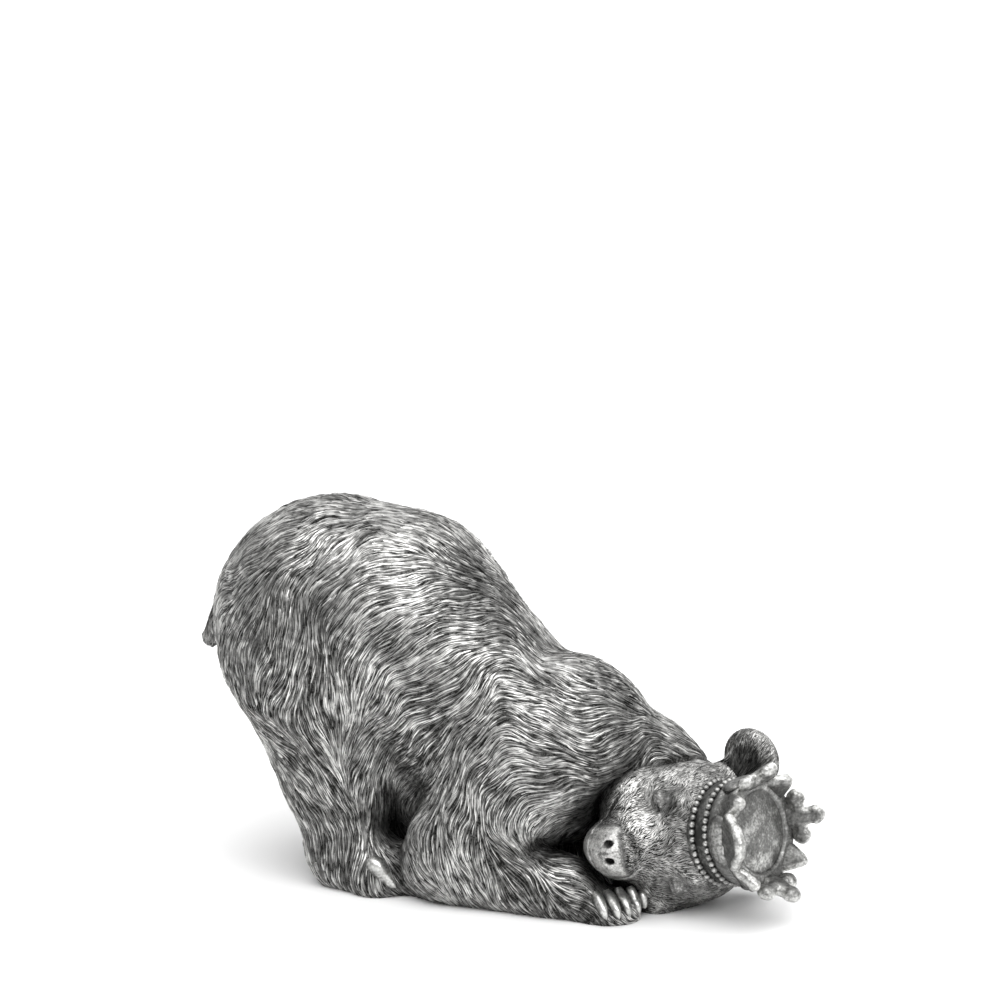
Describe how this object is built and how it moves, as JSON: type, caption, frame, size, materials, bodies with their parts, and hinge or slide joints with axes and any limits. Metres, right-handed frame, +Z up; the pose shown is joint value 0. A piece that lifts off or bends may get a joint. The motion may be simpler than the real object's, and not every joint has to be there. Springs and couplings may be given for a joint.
{
  "type": "polar bear figurine",
  "caption": "Antique silver statue of a crouching polar bear with its rump raised and its head resting on the ground, wearing a crown.",
  "frame": {"origin": "on the ground, under the middle of the bounding box", "axes": "+X from the tail to the crown along the length, -Y towards the bear's right side and the side its face is turned to, +Z up"},
  "size_m": [0.317, 0.1292, 0.1786],
  "materials": {
    "antique_silver": "antique silver on cast resin, bright on the raised fur and dark in the grooves"
  },
  "bodies": {
    "root": {"polar_bear": "antique_silver"}
  },
  "joints": []
}
